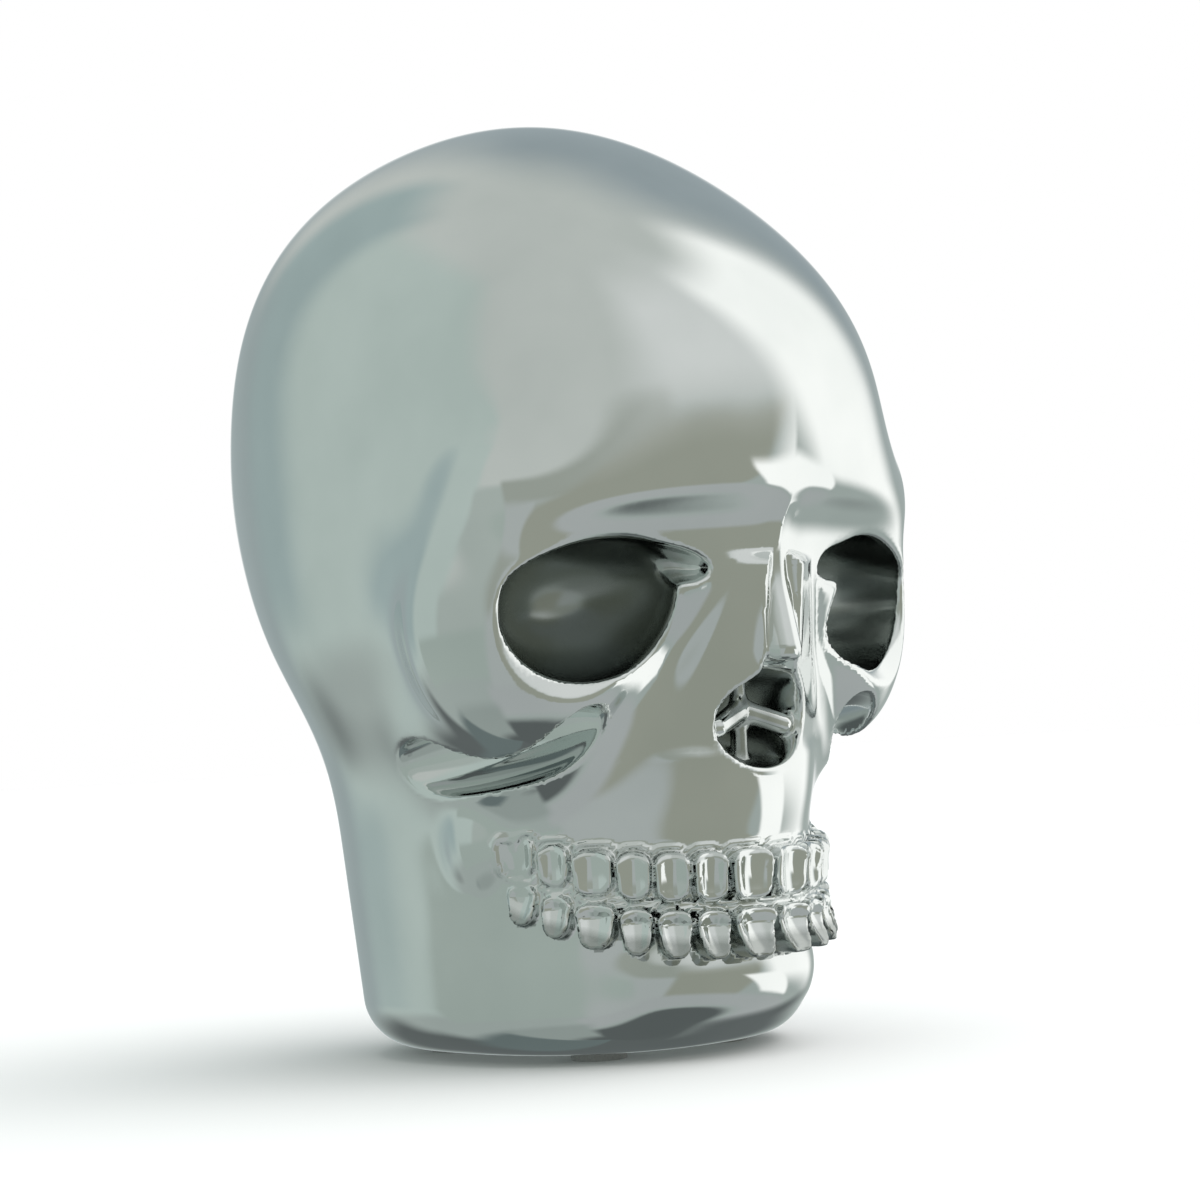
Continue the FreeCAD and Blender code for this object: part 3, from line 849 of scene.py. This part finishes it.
def floor():
    """A round sheet of paper, which the mirror doesn't see."""
    angles = [2 * math.pi * i / FLOOR_CORNERS for i in range(FLOOR_CORNERS)]
    corners = [(FLOOR_RADIUS * math.cos(a), FLOOR_RADIUS * math.sin(a), 0.0) for a in angles]
    mesh = bpy.data.meshes.new("floor")
    mesh.from_pydata(corners, [], [tuple(range(FLOOR_CORNERS))])
    mesh.materials.append(floor_paper())
    piece = bpy.data.objects.new("floor", mesh)
    bpy.context.scene.collection.objects.link(piece)
    piece.visible_glossy = False


def overhead_light():
    lamp = bpy.data.lights.new("overhead", "SUN")
    lamp.angle = math.radians(SUN_ANGLE)
    lamp.energy = SUN_ENERGY
    piece = bpy.data.objects.new("overhead", lamp)
    piece.rotation_euler = [math.radians(angle) for angle in SUN_TILT]
    piece.visible_glossy = False
    bpy.context.scene.collection.objects.link(piece)


def room(nodes, links):
    """The colour that the mirror sees in each direction."""
    place = nodes.new("ShaderNodeTexCoord")
    ray = nodes.new("ShaderNodeSeparateXYZ")
    links.new(place.outputs["Generated"], ray.inputs["Vector"])
    front = calculation(nodes, links, "MULTIPLY", ray.outputs["Y"], -1.0)
    azimuth = calculation(nodes, links, "ARCTAN2", ray.outputs["X"], front)
    azimuth = calculation(nodes, links, "DEGREES", azimuth)
    elevation = calculation(nodes, links, "ARCSINE", ray.outputs["Z"])
    elevation = calculation(nodes, links, "DEGREES", elevation)
    colour = None
    for middle, height, half_width, half_height, lean, edge, tint in SURROUNDINGS:
        rise = calculation(nodes, links, "SUBTRACT", elevation, height)
        across = calculation(nodes, links, "SUBTRACT", azimuth, middle)
        across = calculation(nodes, links, "MULTIPLY_ADD", rise, -lean, across)
        across = calculation(nodes, links, "WRAP", across, 180.0, -180.0)
        fades = []
        for value, half in ((across, half_width), (rise, half_height)):
            size = calculation(nodes, links, "ABSOLUTE", value)
            fade = map_range(nodes, links, size, half - edge, half + edge, 1.0, 0.0)
            fade.interpolation_type = "SMOOTHSTEP"
            fades.append(fade.outputs["Result"])
        cover = calculation(nodes, links, "MULTIPLY", *fades)
        mix = nodes.new("ShaderNodeMixRGB")
        mix.inputs["Color1"].default_value = linear(*ROOM_TINT)
        if colour is not None:
            links.new(colour, mix.inputs["Color1"])
        mix.inputs["Color2"].default_value = linear(*tint)
        links.new(cover, mix.inputs["Fac"])
        colour = mix.outputs["Color"]
    return colour


def surroundings():
    """White behind the object, and the room wherever the object reflects."""
    world = bpy.data.worlds.new("studio")
    bpy.context.scene.world = world
    world.use_nodes = True
    nodes, links = world.node_tree.nodes, world.node_tree.links
    nodes.clear()
    path = nodes.new("ShaderNodeLightPath")
    white = nodes.new("ShaderNodeBackground")
    white.inputs["Color"].default_value = (1.0, 1.0, 1.0, 1.0)
    seen = nodes.new("ShaderNodeBackground")
    links.new(room(nodes, links), seen.inputs["Color"])
    mix = nodes.new("ShaderNodeMixShader")
    out = nodes.new("ShaderNodeOutputWorld")
    links.new(path.outputs["Is Camera Ray"], mix.inputs["Fac"])
    links.new(seen.outputs[0], mix.inputs[1])
    links.new(white.outputs[0], mix.inputs[2])
    links.new(mix.outputs[0], out.inputs["Surface"])


def camera():
    view = direction(CAMERA_AZIMUTH, CAMERA_ELEVATION)
    target = Vector((0.0, -SKULL_MIDDLE_Y * MM, TARGET_Z))
    eye = target + view * CAMERA_DISTANCE
    right = (-view).cross(Vector((0, 0, 1))).normalized()
    up = right.cross(-view)
    roll = Matrix.Rotation(math.radians(CAMERA_ROLL), 3, view)
    right, up = roll @ right, roll @ up
    aim = target + right * AIM_RIGHT - up * AIM_DOWN
    back = (eye - aim).normalized()
    right = up.cross(back).normalized()
    up = back.cross(right)
    lens = bpy.data.cameras.new("camera")
    lens.sensor_width = SENSOR_WIDTH
    lens.lens = CAMERA_LENS
    lens.clip_start = CLIP_START
    piece = bpy.data.objects.new("camera", lens)
    piece.matrix_world = Matrix.Translation(eye) @ Matrix((right, up, back)).transposed().to_4x4()
    bpy.context.scene.collection.objects.link(piece)
    bpy.context.scene.camera = piece


# ---------------------------------------------------------------- the scene

def plated_skull():
    shell = skull_object()
    shell.data.materials.append(mirror_glaze())
    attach(shell, "root")
    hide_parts("skull_shell")


def dress_pads():
    """The pads keep their CAD shape and get a felt material."""
    material = felt()
    for name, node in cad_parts.items():
        if name.startswith("felt_pad"):
            node.data.materials.clear()
            node.data.materials.append(material)


bpy.context.scene.view_settings.view_transform = "Standard"
plated_skull()
dress_pads()
floor()
overhead_light()
surroundings()
camera()
